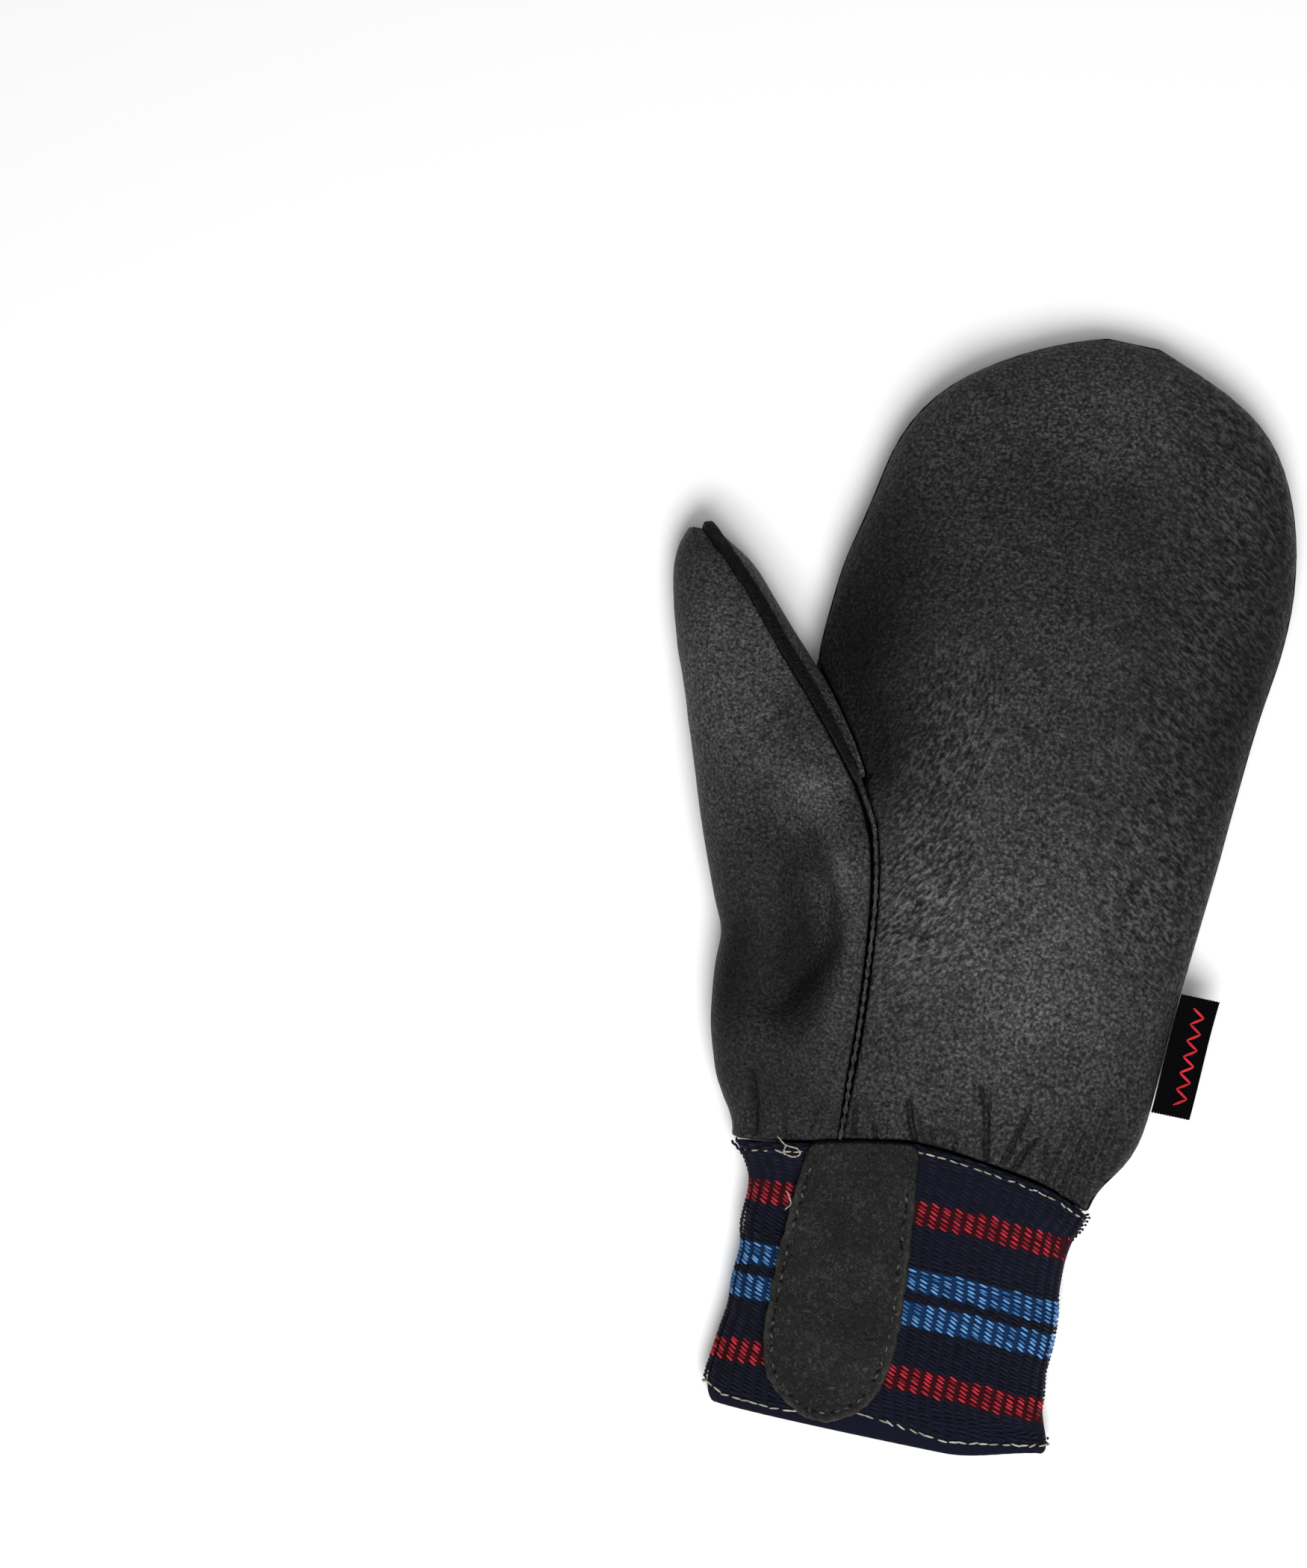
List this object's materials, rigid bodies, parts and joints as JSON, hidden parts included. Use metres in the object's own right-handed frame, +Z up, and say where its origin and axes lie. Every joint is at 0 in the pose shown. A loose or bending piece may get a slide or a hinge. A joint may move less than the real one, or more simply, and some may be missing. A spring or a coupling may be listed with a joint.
{
  "type": "leather mitten",
  "caption": "Left-hand leather mitten lying palm up, with a welted thumb seam, a striped ribbed knit wrist, a suede pull tab and a bare woven side tag.",
  "frame": {"origin": "on the ground under the middle of the mitten's box, the mitten lying palm up on its back", "axes": "+X across the palm away from the thumb, +Y from the wrist to the fingertips, +Z up out of the palm"},
  "size_m": [0.1592, 0.287, 0.0363],
  "materials": {
    "grain_leather": "dark grey drum-dyed sheepskin, soft pebbled grain, satin",
    "welt_leather": "the same leather, a strip seen on its folded edge",
    "rib_knit": "acrylic rib knit, navy with two dark red and two light blue stripes",
    "suede": "brushed split leather, matt, two layers sewn round the edge",
    "woven_tape": "black woven polyester tape, bare"
  },
  "bodies": {
    "root": {"palm_panel": "grain_leather", "back_panel": "grain_leather", "thumb_outer": "grain_leather", "thumb_inner": "grain_leather", "thumb_welt": "welt_leather", "knit_cuff": "rib_knit", "pull_tab": "suede", "side_tag": "woven_tape"}
  },
  "joints": []
}
